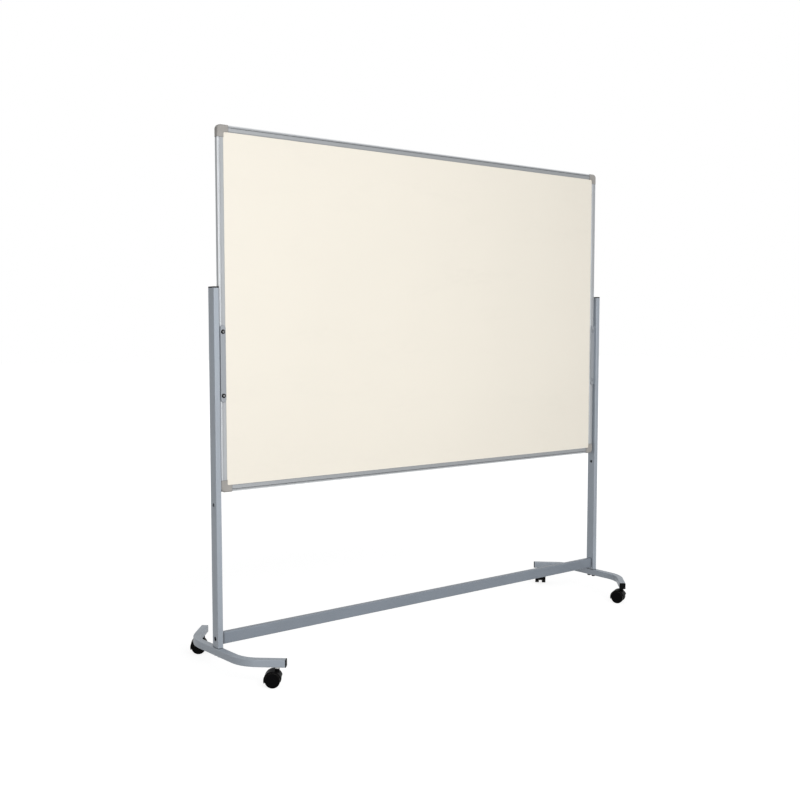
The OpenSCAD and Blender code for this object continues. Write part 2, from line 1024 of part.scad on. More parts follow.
// Canopy over the wheels and the wall between them, cut along a slope, with a boss for the stem
module castor_hood(c) {
    wide = 4 * hood_r;
    color(black)
        on_castor(c)
            difference() {
                union() {
                    translate([castor_offset, 0, wheel_r]) {
                        intersection() {
                            hood_round();
                            rotate([0, hood_slope, 0])
                                translate([-wide / 2, -wide / 2, 0])
                                    cube(wide);
                        }
                        intersection() {
                            rotate([90, 0, 0])
                                cylinder(r = hood_in_r, h = web_w, center = true);
                            translate([-wide / 2, -wide / 2, -web_drop])
                                cube(wide);
                        }
                    }
                    translate([0, 0, wheel_r])
                        cylinder(r = boss_r, h = boss_top - wheel_r);
                }
                // Wheel wells
                for (s = [-1, 1])
                    translate([castor_offset, 0, wheel_r])
                        rotate([-90 * s, 0, 0])
                            translate([0, 0, web_w / 2])
                                cylinder(r = hood_in_r, h = hood_w);
                // Axle
                translate([castor_offset, 0, wheel_r])
                    rotate([90, 0, 0])
                        cylinder(d = axle_d, h = web_w + 2 * over, center = true);
                // Pin and its retaining ring
                translate([0, 0, pintle_end - swivel_gap])
                    cylinder(r = pintle_d / 2 + running, h = boss_top - pintle_end + swivel_gap + over);
                translate([0, 0, ring_z - swivel_gap])
                    cylinder(r = pintle_d / 2 + ring_out + running, h = ring_t + 2 * swivel_gap);
            }
}

module castor_axle(c) {
    color(zinc)
        on_axle(c, 1)
            cylinder(d = axle_d, h = 2 * (wheel_in + wheel_w - axle_room), center = true);
}

// Half section of a wheel, from its inner face outwards
module wheel_section() {
    bore_l = wheel_w - axle_room + swivel_gap;
    difference() {
        union() {
            translate([wheel_r - rim_t, 0])
                square([rim_t - tread_r, wheel_w]);
            translate([wheel_r - rim_t, tread_r])
                square([rim_t, wheel_w - 2 * tread_r]);
            for (y = [tread_r, wheel_w - tread_r])
                translate([wheel_r - tread_r, y])
                    circle(tread_r);
            translate([0, wheel_w - disc_back - disc_t])
                square([wheel_r - rim_t, disc_t]);
            square([hub_r, wheel_w - hub_back]);
        }
        translate([-over, -over])
            square([axle_d / 2 + running + over, bore_l + over]);
    }
}

// Wheel with a hollow inner side, a hub and ribs
module castor_wheel(c, s) {
    rib_l = wheel_r - rim_t - hub_r;
    color(black)
        on_axle(c, s)
            translate([0, 0, wheel_in]) {
                rotate_extrude()
                    wheel_section();
                for (k = [0 : rib_count - 1])
                    rotate([0, 0, k * 360 / rib_count])
                        translate([hub_r - over, -rib_t / 2, tread_r])
                            cube([rib_l + 2 * over, rib_t, wheel_w - disc_back - disc_t / 2 - tread_r]);
            }
}

writing_surface();
core_panel();
backing_sheet();
frame_top();
frame_bottom();
frame_side(-1);  // frame_left
frame_side(1);  // frame_right
corner_cap(-1, -1, 0);  // corner_cap_bottom_left
corner_cap(-1, 1, 90);  // corner_cap_top_left
corner_cap(1, 1, 180);  // corner_cap_top_right
corner_cap(1, -1, 270);  // corner_cap_bottom_right
corner_cap_screws();
clamp_strap(-1);  // left_clamp_strap
clamp_strap(1);  // right_clamp_strap
board_bracket(-1);  // left_board_bracket
board_bracket(1);  // right_board_bracket
clamp_screws();
clamp_washers();
clamp_nuts();
bracket_screws();
bracket_inserts();
upright(-1);  // left_upright
upright(1);  // right_upright
upright_cap(-1);  // left_upright_cap
upright_cap(1);  // right_upright_cap
cross_rail();
rail_plug(-1);  // left_rail_plug
rail_plug(1);  // right_rail_plug
rail_bolts();
base_plug(-1);  // left_base_plug
base_plug(1);  // right_base_plug
base_bolts();
foot(-1);  // left_foot
foot(1);  // right_foot
castor_sockets();
for (c = castors) {
    foot_cap(c);
    castor_stem(c);
    castor_hood(c);
    castor_axle(c);
    castor_wheel(c, 1);
    castor_wheel(c, -1);
}
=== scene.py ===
"""Looks of a rolling whiteboard: finishes for its solids, its small fasteners, and a studio.

Lengths are in metres, in the packed model's frame: X to the right, Y to the back, Z up.
"""

import inspect
import json
import math

import bmesh
import bpy
import numpy as np
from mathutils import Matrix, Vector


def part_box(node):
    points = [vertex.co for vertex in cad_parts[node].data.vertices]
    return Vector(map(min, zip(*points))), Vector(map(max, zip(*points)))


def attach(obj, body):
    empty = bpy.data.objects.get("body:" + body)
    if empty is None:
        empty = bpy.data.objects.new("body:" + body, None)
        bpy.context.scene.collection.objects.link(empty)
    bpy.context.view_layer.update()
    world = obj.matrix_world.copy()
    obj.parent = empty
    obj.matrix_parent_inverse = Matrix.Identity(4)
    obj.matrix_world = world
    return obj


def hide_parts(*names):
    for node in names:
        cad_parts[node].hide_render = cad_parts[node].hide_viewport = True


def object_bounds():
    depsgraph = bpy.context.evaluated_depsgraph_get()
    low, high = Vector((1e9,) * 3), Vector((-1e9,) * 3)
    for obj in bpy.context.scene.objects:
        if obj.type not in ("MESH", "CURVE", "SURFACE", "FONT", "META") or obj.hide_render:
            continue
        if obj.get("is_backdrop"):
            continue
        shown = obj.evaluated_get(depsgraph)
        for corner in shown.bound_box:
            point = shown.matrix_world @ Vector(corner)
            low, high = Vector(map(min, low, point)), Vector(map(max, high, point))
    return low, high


bl_info = {
    "name": "Rolling Whiteboard",
    "version": (1, 0, 0),
    "blender": (4, 5, 0),
    "location": "View3D > Sidebar > Whiteboard",
    "description": "Finishes, small fasteners and a studio for a framed whiteboard on a castor stand",
    "category": "Object",
}

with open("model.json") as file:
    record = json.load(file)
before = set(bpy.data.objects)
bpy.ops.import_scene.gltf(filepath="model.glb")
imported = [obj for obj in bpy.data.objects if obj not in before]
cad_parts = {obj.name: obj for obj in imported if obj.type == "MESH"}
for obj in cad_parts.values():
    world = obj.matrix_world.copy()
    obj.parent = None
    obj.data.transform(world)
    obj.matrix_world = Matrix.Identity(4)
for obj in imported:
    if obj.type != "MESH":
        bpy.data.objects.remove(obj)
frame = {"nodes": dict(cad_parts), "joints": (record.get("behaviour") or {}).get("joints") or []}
CAD_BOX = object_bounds()

SIDES = ("left", "right")
CORNERS = ("top_left", "top_right", "bottom_left", "bottom_right")
CASTORS = ("front_left", "front_right", "back_left", "back_right")

# Columns are a fastener's own X, Y and Z in the frame, with its Z out of its head
HEAD_TO_FRONT = np.array([[1, 0, 0], [0, 0, -1], [0, 1, 0]])
HEAD_TO_BACK = np.array([[1, 0, 0], [0, 0, 1], [0, -1, 0]])
HEAD_DOWN = np.array([[1, 0, 0], [0, -1, 0], [0, 0, -1]])

# Steps round a turned surface, a multiple of six so that a hexagon's corners fall on steps
ROUND_STEPS = 96
TURN = np.arange(ROUND_STEPS) * 2 * np.pi / ROUND_STEPS
# Turn from one screw's recess to the next, so that no two stand alike
RECESS_TURN = math.radians(137.5)
# Depths of the crosses in the clamps' and the corner caps' screws
CLAMP_CROSS_DEPTH = 0.0010
CAP_CROSS_DEPTH = 0.0011
# Depth of the painted glint on a clamp screw's crown
CROWN_RUB = 0.0005
THREAD_DEPTH = 0.0004
# Slope of the chamfer that rounds a hexagon's corners
CHAMFER = math.tan(math.radians(30))
# Depths of the dish in a bolt's head and of the countersink in a nut's bore
DISH = 0.0004
SINK = 0.0006
# Distance within which points are one, and the turn past which an edge stays sharp
WELD = 1e-6
CREASE = math.radians(32)

# Half height of a rectangle whose sides stand for two upright lines
FAR = 9.0
# Half the floor's width, its drop under the wheels, and where its white rises to full
FLOOR_HALF = 30.0
FLOOR_DROP = 0.0003
GLOW_RISE = (1.2, 3.2)
SENSOR_WIDTH = 36
WHITE = (1, 1, 1, 1)

FLOAT = "NodeSocketFloat"
VECTOR = "NodeSocketVector"


# Properties


def colour(name, of, *display):
    """A colour property: its default is a display colour of 0 to 255, with the display's curve undone."""
    part = np.array(display) / 255
    linear = np.where(part < 0.04045, part / 12.92, ((part + 0.055) / 1.055) ** 2.4)
    return bpy.props.FloatVectorProperty(
        name=name, description=f"Colour of {of}", default=linear.tolist(), subtype="COLOR", min=0, max=1
    )


def place(name, description, default):
    """A point in the frame, in metres."""
    return bpy.props.FloatVectorProperty(
        name=name, description=description, default=default, subtype="TRANSLATION", unit="LENGTH"
    )


def measure(name, description, default, unit="NONE", **kind):
    """A property of one number in one of Blender's units."""
    return bpy.props.FloatProperty(name=name, description=description, default=default, unit=unit, **kind)


def length(name, description, default):
    """A length property in metres."""
    return measure(name, description, default, "LENGTH", min=0, precision=5)


def share(name, description, default):
    """A property from 0 to 1."""
    return measure(name, description, default, min=0, max=1, subtype="FACTOR")


class WhiteboardFinishes(bpy.types.PropertyGroup):
    """Colours and wear of the finishes"""

    enamel: colour("Enamel", "the writing sheet", 247, 241, 228)
    core: colour("Core", "the core board's fibre", 176, 146, 108)
    backing: colour("Backing", "the zinc sheet on the back", 176, 180, 183)
    aluminium: colour("Aluminium", "the frame's bars", 154, 157, 160)
    corner: colour("Corners", "the moulded corner caps", 163, 160, 156)
    paint: colour("Stand paint", "the posts' and feet's powder coat", 155, 163, 172)
    rail_paint: colour("Rail paint", "the rail's powder coat, a shade darker", 127, 135, 145)
    # A shade darker than the stand's paint, as painted shade; the right clamp's rings and screws take it
    # too
    strap_paint: colour("Strap paint", "the clamps' powder coat", 146, 151, 157)
    # Also the colour of the bars' painted highlights and of the clamp screws' painted glints
    bare_metal: colour("Bare metal", "the steel under worn paint", 190, 192, 194)
    black: colour("Plugs", "the black plugs and rings", 6, 6, 7)
    castor: colour("Castors", "the castors' nylon", 5, 5, 6)
    zinc: colour("Zinc", "the plated fasteners", 190, 192, 192)
    black_oxide: colour("Black oxide", "the blackened screws and bolts", 22, 22, 24)
    # Also the colour of painted shade in grooves, holes, tubes and where the rail meets the posts
    grime: colour("Grime", "grime in grooves and seams", 50, 51, 53)
    dust: colour("Dust", "settled dust and scuffs", 150, 147, 142)
    wear: share("Wear", "How far edges are worn", 0.35)
    dustiness: share("Dustiness", "How much dust lies on upward faces", 0.25)


class WhiteboardFasteners(bpy.types.PropertyGroup):
    """Sizes of the fasteners' heads and threads, beyond what the solids give"""

    clamp_crown: length("Clamp crown", "Height of the clamp screw's raised head", 0.0008)
    clamp_cone: length("Clamp cone", "Depth of the clamp screw's countersunk cone", 0.0016)
    clamp_shank: length("Clamp shank", "Diameter of the clamp screw's shank", 0.004)
    thread_pitch: length("Thread pitch", "Pitch of the clamp screw's thread", 0.0007)
    thread_length: length("Thread length", "Length of thread at the clamp screw's tail", 0.0064)
    clamp_recess: length("Clamp recess", "Length of the clamp screw's cross", 0.0038)
    cap_head: length("Cap head", "Height of the corner cap screw's head", 0.0018)
    cap_shank: length("Cap shank", "Diameter of the corner cap screw's shank", 0.003)
    cap_recess: length("Cap recess", "Length of the corner cap screw's cross", 0.0036)
    base_head: length("Base head", "Height of the base bolt's head", 0.00528)
    base_shank: length("Base shank", "Diameter of the base bolt's shank", 0.008)


class WhiteboardStudio(bpy.types.PropertyGroup):
    """Camera, lamps and floor"""

    camera_place: place("Camera", "Where the camera stands", (-2.4345, -2.9980, 1.1504))
    camera_tilt: measure("Tilt", "Camera's tilt up from straight down", math.radians(85.970), "ROTATION")
    camera_turn: measure("Turn", "Camera's turn about the vertical", math.radians(-37.295), "ROTATION")
    lens: measure("Lens", "Focal length on a 36 mm sensor", 45.456, "CAMERA")
    key_place: place("Key lamp", "Middle of the large lamp", (-0.75, -3.5, 1.5))
    key_power: measure("Key power", "Power of the large lamp", 98, "POWER")
    strip_place: place("Strip lamp", "Middle of the tall lamp on the left", (-3.6, -3.4, 1.7))
    strip_power: measure("Strip power", "Power of the tall lamp on the left", 4, "POWER")
    ambient: share("Ambient", "Strength of the even light from all round", 0.48)
    floor: colour("Floor", "the floor", 150, 150, 150)
    floor_glow: share("Floor glow", "White that the floor shows over its own shade by the object", 0.84)


# Shader wiring


class Wiring:
    """Adds nodes to a tree, and sets or links their inputs"""

    def __init__(self, tree):
        self.tree = tree

    def add(self, kind, inputs=None, **settings):
        """A shader node with its settings, each input either a value or another node's output."""
        node = self.tree.nodes.new(f"ShaderNode{kind}")
        for name, value in settings.items():
            setattr(node, name, value)
        for key, value in (inputs or {}).items():
            self.feed(node.inputs[key], value)
        return node

    def feed(self, socket, value):
        """Links an output to a socket, or sets the socket's value."""
        if isinstance(value, bpy.types.NodeSocket):
            self.tree.links.new(value, socket)
        else:
            socket.default_value = value

    def place(self, builder, **inputs):
        """A shared group's outputs, its inputs set by the builder's own names for them."""
        node = self.add("Group", node_tree=shared_group(builder))
        for name, value in inputs.items():
            self.feed(node.inputs[name.capitalize()], value)
        return node.outputs

    def coords(self):
        """Object coordinates."""
        return self.add("TexCoord").outputs["Object"]

    def vector(self, operation, first, second=(0, 0, 0)):
        """One sum on two vectors, and the plain value of a sum that gives one."""
        node = self.add("VectorMath", {0: first, 1: second}, operation=operation)
        return node.outputs["Value" if operation in ("DOT_PRODUCT", "LENGTH") else "Vector"]

    def part(self, point, axis):
        """A point along one axis."""
        return self.add("SeparateXYZ", {0: point}).outputs[axis]

    def noise(self, point, scale, detail=2.0, distortion=0.0):
        """Soft noise at a point."""
        inputs = {"Vector": point, "Scale": scale, "Detail": detail, "Distortion": distortion}
        return self.add("TexNoise", inputs).outputs["Fac"]

    def cells(self, point, scale):
        """Cells that each have one value of their own, from 0 to 1."""
        inputs = {"Vector": point, "Scale": scale}
        return self.part(self.add("TexVoronoi", inputs).outputs["Color"], "X")

    def math(self, operation, first, second=0.0):
        """One sum on two values."""
        return self.add("Math", {0: first, 1: second}, operation=operation).outputs[0]

    def times(self, first, second):
        """Two values multiplied."""
        return self.math("MULTIPLY", first, second)

    def plus(self, first, second):
        """Two values added."""
        return self.math("ADD", first, second)

    def span(self, value, low, high, to_low=0.0, to_high=1.0):
        """A value's range carried smoothly to another, and held at its ends."""
        inputs = {"Value": value, 1: low, 2: high, 3: to_low, 4: to_high}
        node = self.add("MapRange", inputs, interpolation_type="SMOOTHSTEP")
        return node.outputs[0]

    def mix(self, amount, first, second):
        """Two colours mixed by an amount."""
        node = self.add("Mix", {0: amount, 6: first, 7: second}, data_type="RGBA")
        return node.outputs[2]

    def bump(self, height, distance, strength, normal=None):
        """A normal tilted by a height of 0 to 1 over a distance in metres."""
        inputs = {"Height": height, "Distance": distance, "Strength": strength}
        if normal is not None:
            inputs["Normal"] = normal
        return self.add("Bump", inputs).outputs[0]


def opaque(rgb, times=1.0):
    """A property's colour as a socket takes it, its brightness times a number."""
    return tuple(min(1.0, part * times) for part in rgb) + (1.0,)


def title(builder):
    """A builder's name in plain words."""
    return builder.__name__.replace("_", " ").capitalize()


def shared_group(builder):
    """A shader group that several finishes use, built once and found by its name. Its inputs are the
    builder's arguments after the first, with their defaults, and its outputs what the builder gives."""
    name = title(builder)
    if name in bpy.data.node_groups:
        return bpy.data.node_groups[name]
    tree = bpy.data.node_groups.new(name, "ShaderNodeTree")
    wire = Wiring(tree)
    arguments = list(inspect.signature(builder).parameters.values())[1:]
    defaults = {argument.name.capitalize(): argument.default for argument in arguments}
    for label, default in defaults.items():
        kind = VECTOR if isinstance(default, tuple) else FLOAT
        tree.interface.new_socket(label, in_out="INPUT", socket_type=kind).default_value = default
    given = tree.nodes.new("NodeGroupInput").outputs
    made = builder(wire, *(given[label] for label in defaults))
    out = tree.nodes.new("NodeGroupOutput").inputs
    for label, value in made.items():
        kind = VECTOR if value.type == "VECTOR" else FLOAT
        tree.interface.new_socket(label, in_out="OUTPUT", socket_type=kind)
        wire.feed(out[label], value)
    return tree


def edge_wear(wire, radius=0.0015, patch=0.03, amount=0.3):
    """Where a surface turns sharply: the rounded normal's departure from the flat one, in patches."""
    rounded = wire.add("Bevel", {"Radius": radius}, samples=6).outputs[0]
    flat = wire.add("NewGeometry").outputs["Normal"]
    sharp = wire.span(wire.vector("DOT_PRODUCT", rounded, flat), 0.99, 0.80)
    patches = wire.noise(wire.coords(), wire.math("DIVIDE", 1.0, patch), 4.0)
    worn = wire.times(sharp, wire.span(patches, 0.42, 0.68))
    return {"Mask": wire.times(worn, amount), "Normal": rounded}


def drawn_lines(wire, stretch=(2.0, 900.0, 900.0)):
    """Fine lines along a drawn bar: noise stretched along the bar, and broad bands of tone."""
    point = wire.vector("MULTIPLY", wire.coords(), stretch)
    return {"Height": wire.noise(point, 1.0, 3.0), "Tone": wire.noise(point, 0.22, 2.0)}


def moulded_grain(wire, size=0.0009):
    """A spark-eroded mould's grain: rounded cells roughened by noise."""
    scale = wire.math("DIVIDE", 1.0, size)
    point = wire.coords()
    inputs = {"Vector": point, "Scale": scale, "Smoothness": 0.6}
    cells = wire.add("TexVoronoi", inputs, feature="SMOOTH_F1").outputs["Distance"]
    rough = wire.noise(point, wire.times(scale, 1.7), 3.0)
    height = wire.plus(cells, wire.times(rough, 0.6))
    return {"Height": height, "Tone": wire.noise(point, 35.0, 4.0)}


def settled_dust(wire, amount=0.3):
    """Dust on faces that look up: the upward part of the normal, broken by noise."""
    up = wire.part(wire.add("TexCoord").outputs["Normal"], "Z")
    point = wire.coords()
    cloud = wire.span(wire.noise(point, 14.0, 5.0), 0.3, 0.75)
    specks = wire.span(wire.noise(point, 900.0, 1.0), 0.45, 0.7)
    veil = wire.plus(wire.times(cloud, 0.7), wire.times(specks, 0.3))
    lying = wire.times(wire.span(up, 0.35, 0.95), veil)
    return {"Mask": wire.times(lying, amount)}


def sprayed_skin(wire, ripple=0.003):
    """Powder coat: the low ripple of a sprayed skin, and the sparkle of flakes in it."""
    point = wire.coords()
    return {
        "Height": wire.noise(point, wire.math("DIVIDE", 1.0, ripple), 2.0),
        "Flake": wire.cells(point, 2200.0),
        "Cloud": wire.noise(point, 7.0, 4.0),
    }


def rubbed_marks(wire, stroke=(3.0, 3.0, 9.0), cover=0.5):
    """Smears left by hands and wiping: broad noise pulled into strokes, over a fine haze."""
    point = wire.vector("MULTIPLY", wire.coords(), stroke)
    laid = wire.span(wire.noise(point, 1.0, 5.0, 0.6), 0.45, 0.72)
    haze = wire.span(wire.noise(point, 11.0, 3.0), 0.2, 0.8)
    return {"Mask": wire.times(wire.times(laid, haze), cover)}


def gathered_grime(wire, reach=0.003, amount=0.6):
    """Painted shade in inner corners: how far a surface's own faces close it in, broken by noise."""
    node = wire.add("AmbientOcclusion", {"Distance": reach}, samples=8, only_local=True)
    patches = wire.span(wire.noise(wire.coords(), 60.0, 3.0), 0.25, 0.75, 0.75, 1.0)
    closed = wire.times(wire.span(node.outputs["AO"], 0.95, 0.65), patches)
    return {"Mask": wire.times(closed, amount)}


def outer_edges(wire, middle=(0.0, 0.0, 1.2), outward=(0.0, 0.0, 1.0), start=0.15):
    """The rounded outer edges of the frame's bars: faces that look partly out of the frame, by the
    part of the normal along the outward axis, turned round on the far side of the middle."""
    off = wire.vector("SUBTRACT", wire.coords(), middle)
    side = wire.math("SIGN", wire.vector("DOT_PRODUCT", off, outward))
    lie = wire.add("TexCoord").outputs["Normal"]
    looking = wire.times(side, wire.vector("DOT_PRODUCT", lie, outward))
    rising = wire.span(wire.math("SUBTRACT", looking, start), 0.0, 0.2)
    return {"Mask": wire.times(rising, wire.span(looking, 0.99, 0.93))}


def right_half(wire):
    """1 to the right of the board's middle and 0 to its left."""
    return {"Mask": wire.math("GREATER_THAN", wire.part(wire.coords(), "X"), 0.0)}


def seam_lines(wire, middle=(0.0, 0.0, 1.2), half=(0.9, 0.0, 0.6), reach=0.002):
    """Dark lines where the frame's pieces meet, from |x| and |z| less a rectangle's half sizes: the
    larger is zero all round the rectangle, the smaller where its sides run on past its corners."""
    off = wire.vector("ABSOLUTE", wire.vector("SUBTRACT", wire.coords(), middle))
    past = wire.vector("SUBTRACT", off, half)
    across, up = wire.part(past, "X"), wire.part(past, "Z")
    lines = {}
    for label, choice in (("Around", "MAXIMUM"), ("Across", "MINIMUM")):
        away = wire.math("ABSOLUTE", wire.math(choice, across, up))
        near = wire.math("SUBTRACT", 1.0, wire.math("DIVIDE", away, reach))
        lines[label] = wire.span(near, 0.0, 1.0)
    return lines


# Finishes


def start_finish(name):
    """A material and its wiring."""
    material = bpy.data.materials.new(name)
    material.use_nodes = True
    return material, Wiring(material.node_tree)


def shader_of(material):
    """The inputs of a material's shader."""
    return material.node_tree.nodes["Principled BSDF"].inputs


def finished(material, tint, rough, normal, metal=0.0, shine=0.5):
    """A material with its shader's main inputs set or linked."""
    wire = Wiring(material.node_tree)
    inputs = shader_of(material)
    wire.feed(inputs["Base Color"], tint)
    wire.feed(inputs["Roughness"], rough)
    wire.feed(inputs["Normal"], normal)
    wire.feed(inputs["Metallic"], metal)
    wire.feed(inputs["Specular IOR Level"], shine)
    return material


def lay_over(material, mask, rgb):
    """Mixes a colour over a finish's own colour where a mask says."""
    wire = Wiring(material.node_tree)
    own = shader_of(material)["Base Color"]
    wire.feed(own, wire.mix(mask, own.links[0].from_socket, opaque(rgb)))
    return material


def shared_finish(builder, looks):
    """A finish that several steps use, made once and found by its name."""
    name = title(builder)
    return bpy.data.materials.get(name) or builder(looks, name)


def coat(material, *nodes):
    """Gives solids of the packed model a material."""
    for node in nodes:
        solid = frame["nodes"][node]
        if not solid.material_slots:
            solid.data.materials.append(material)
        for held in solid.material_slots:
            held.material = material


def enamel_finish(looks):
    """Cream baked enamel: a nearly flat sheet with faint wiping marks in its gloss."""
    material, wire = start_finish("Cream enamel")
    point = wire.coords()
    cloud = wire.span(wire.noise(point, 1.6, 3.0), 0.3, 0.7)
    tone = wire.mix(cloud, opaque(looks.enamel), opaque(looks.enamel, 0.985))
    marks = wire.place(rubbed_marks, stroke=(2.2, 2.2, 6.5), cover=0.5)["Mask"]
    ripple = wire.bump(wire.noise(point, 5.0, 1.0), 0.002, 0.02)
    return finished(
        material,
        tint=wire.mix(wire.times(marks, 0.06), tone, opaque(looks.dust)),
        rough=wire.span(marks, 0.0, 0.5, 0.34, 0.48),
        normal=wire.bump(wire.noise(point, 420.0, 2.0), 0.0002, 0.03, ripple),
        shine=0.3,
    )


def core_finish(looks):
    """Pressed fibre board: short fibres of two browns."""
    material, wire = start_finish("Fibre core")
    fibre = wire.noise(wire.vector("MULTIPLY", wire.coords(), (260, 900, 260)), 1.0, 5.0)
    tone = wire.mix(wire.span(fibre, 0.35, 0.65), opaque(looks.core, 0.75), opaque(looks.core))
    return finished(material, tint=tone, rough=0.85, normal=wire.bump(fibre, 0.0006, 0.4))


def backing_finish(looks):
    """Zinc-coated sheet: spangle cells of slightly different tone and gloss, and rubbed marks."""
    material, wire = start_finish("Zinc-coated sheet")
    point = wire.coords()
    swirl = wire.add("TexNoise", {"Vector": point, "Scale": 45.0}).outputs["Color"]
    bent = wire.vector("ADD", point, wire.vector("MULTIPLY", swirl, (0.012, 0.012, 0.012)))
    cell = wire.cells(bent, 70.0)
    marks = wire.place(rubbed_marks, stroke=(2.0, 2.0, 2.6), cover=0.8)["Mask"]
    tone = wire.mix(cell, opaque(looks.backing, 0.86), opaque(looks.backing, 1.06))
    return finished(
        material,
        tint=wire.mix(wire.times(marks, 0.3), tone, opaque(looks.dust)),
        rough=wire.plus(wire.span(cell, 0.0, 1.0, 0.40, 0.52), wire.times(marks, 0.12)),
        normal=wire.bump(wire.noise(point, 6.0, 1.0), 0.004, 0.03),
        metal=0.85,
    )


def aluminium_finish(looks, name, stretch, outward, start, light, groove, seam):
    """Drawn and anodised bar: lines along the bar, polished outer edges with a painted highlight,
    handling marks, painted shade in its groove and a dark seam along the sheet."""
    material, wire = start_finish(name)
    middle, half = opening()
    lines = wire.place(drawn_lines, stretch=stretch)
    worn = wire.place(edge_wear, radius=0.0007, patch=0.02, amount=looks.wear)
    marks = wire.place(rubbed_marks, stroke=(9.0, 9.0, 9.0), cover=0.6)["Mask"]
    polish = wire.place(outer_edges, middle=middle, outward=outward, start=start)["Mask"]
    # Painted shade in the groove, from how far the bar's own faces close it in
    grime = wire.place(gathered_grime, reach=0.003, amount=groove)["Mask"]
    line = wire.place(seam_lines, middle=middle, half=half, reach=0.0022)["Around"]
    # light scales the bar's tone, so the upright copy is painted brighter as a painted sheen
    dull, clear = opaque(looks.aluminium, 0.90 * light), opaque(looks.aluminium, 1.06 * light)
    tone = wire.mix(lines["Tone"], dull, clear)
    dulled = wire.mix(wire.times(marks, 0.18), tone, opaque(looks.dust))
    edged = wire.mix(worn["Mask"], dulled, opaque(looks.bare_metal, 1.15))
    # Painted highlight: the outer edges' colour is raised towards bright metal, along with their metallic
    bright = wire.mix(wire.times(polish, 0.8), edged, opaque(looks.bare_metal, 1.6))
    # Painted shade in the groove, together with the dark seam along the sheet
    soiled = wire.math("MAXIMUM", grime, wire.times(line, seam))
    gloss = wire.span(lines["Height"], 0.2, 0.8, 0.34, 0.42)
    return finished(
        material,
        tint=wire.mix(soiled, bright, opaque(looks.grime)),
        rough=wire.plus(gloss, wire.times(marks, 0.12)),
        normal=wire.bump(lines["Height"], 0.0001, 0.12, worn["Normal"]),
        metal=wire.span(polish, 0.0, 1.0, 0.35, 0.85),
    )


def plastic_finish(looks, name, rgb, grain, rough, light, shine, dusty):
    """Moulded plastic: mould grain, edges polished pale by handling, and a veil of dust."""
    material, wire = start_finish(name)
    texture = wire.place(moulded_grain, size=grain)
    worn = wire.place(edge_wear, radius=0.0012, patch=0.012, amount=looks.wear)
    dust = wire.place(settled_dust, amount=looks.dustiness * dusty)["Mask"]
    tone = wire.mix(wire.span(texture["Tone"], 0.3, 0.7), opaque(rgb, 0.9), opaque(rgb, 1.08))
    edged = wire.mix(worn["Mask"], tone, opaque(rgb, light))
    gloss = wire.span(texture["Tone"], 0.2, 0.8, rough, rough + 0.1)
    sheen = wire.math("SUBTRACT", gloss, wire.times(worn["Mask"], 0.15))
    return finished(
        material,
        tint=wire.mix(wire.times(dust, 0.6), edged, opaque(looks.dust)),
        rough=wire.plus(sheen, wire.times(dust, 0.3)),
        normal=wire.bump(texture["Height"], 0.0002, 0.18, worn["Normal"]),
        shine=shine,
    )


def corner_finish(looks):
    """Moulded corner caps, with a dark seam where each bar meets them."""
    material = plastic_finish(
        looks, "Corner plastic", looks.corner, grain=0.0010, rough=0.45, light=1.35, shine=0.4, dusty=1.0
    )
    wire = Wiring(material.node_tree)
    middle, half = bar_lengths()
    seam = wire.place(seam_lines, middle=middle, half=half, reach=0.0016)["Across"]
    return lay_over(material, wire.times(seam, 0.6), looks.grime)


def ring_finish(looks):
    """The clamps' rings: black on the left, and in the strap's own colour on the right."""
    material = plastic_finish(
        looks, "Ring plastic", looks.black, grain=0.0008, rough=0.42, light=3.0, shine=0.06, dusty=0.3
    )
    right = Wiring(material.node_tree).place(right_half)["Mask"]
    return lay_over(material, right, looks.strap_paint)


def paint_finish(looks, name, rgb):
    """Silver-grey powder coat: flakes, a low ripple, edges rubbed to bare metal, dust, and painted
    shade in holes and inside tubes."""
    material, wire = start_finish(name)
    skin = wire.place(sprayed_skin, ripple=0.0032)
    worn = wire.place(edge_wear, radius=0.001, patch=0.035, amount=looks.wear)
    dust = wire.place(settled_dust, amount=looks.dustiness)["Mask"]
    marks = wire.place(rubbed_marks, stroke=(14.0, 14.0, 5.0), cover=0.6)["Mask"]
    # Painted shade in holes and inside tubes, from how far the tube's own faces close them in
    grime = wire.place(gathered_grime, reach=0.012, amount=1.0)["Mask"]
    clouded = wire.mix(wire.span(skin["Cloud"], 0.3, 0.7), opaque(rgb, 0.96), opaque(rgb, 1.03))
    flaked = wire.mix(wire.span(skin["Flake"], 0.55, 1.0, 0.0, 0.35), clouded, opaque(rgb, 1.5))
    rubbed = wire.mix(wire.times(marks, 0.14), flaked, opaque(looks.dust, 0.9))
    edged = wire.mix(wire.times(worn["Mask"], 0.7), rubbed, opaque(looks.bare_metal))
    dusted = wire.mix(wire.times(dust, 0.5), edged, opaque(looks.dust))
    gloss = wire.plus(wire.span(skin["Cloud"], 0.2, 0.8, 0.40, 0.48), wire.times(marks, 0.12))
    return finished(
        material,
        tint=wire.mix(grime, dusted, opaque(looks.grime, 0.5)),
        rough=wire.plus(gloss, wire.times(dust, 0.3)),
        normal=wire.bump(skin["Height"], 0.0004, 0.16, worn["Normal"]),
        metal=0.15,
    )


def stand_paint(looks, name):
    """The powder coat of the posts, feet and angles."""
    return paint_finish(looks, name, looks.paint)


def rail_finish(looks):
    """The rail's powder coat, with a painted shadow of the posts where its ends meet them, stronger on
    the left: the seam of a rectangle as long as the rail and far taller."""
    material = paint_finish(looks, "Rail paint", looks.rail_paint)
    wire = Wiring(material.node_tree)
    start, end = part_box("cross_rail")
    middle, half = rectangle(start.x, end.x, -FAR, FAR)
    seam = wire.place(seam_lines, middle=middle, half=half, reach=0.011)["Around"]
    # Painted shadow of the posts on the rail's ends, stronger on the left
    left = wire.math("SUBTRACT", 0.9, wire.place(right_half)["Mask"])
    return lay_over(material, wire.times(seam, wire.math("MAXIMUM", left, 0.1)), looks.grime)


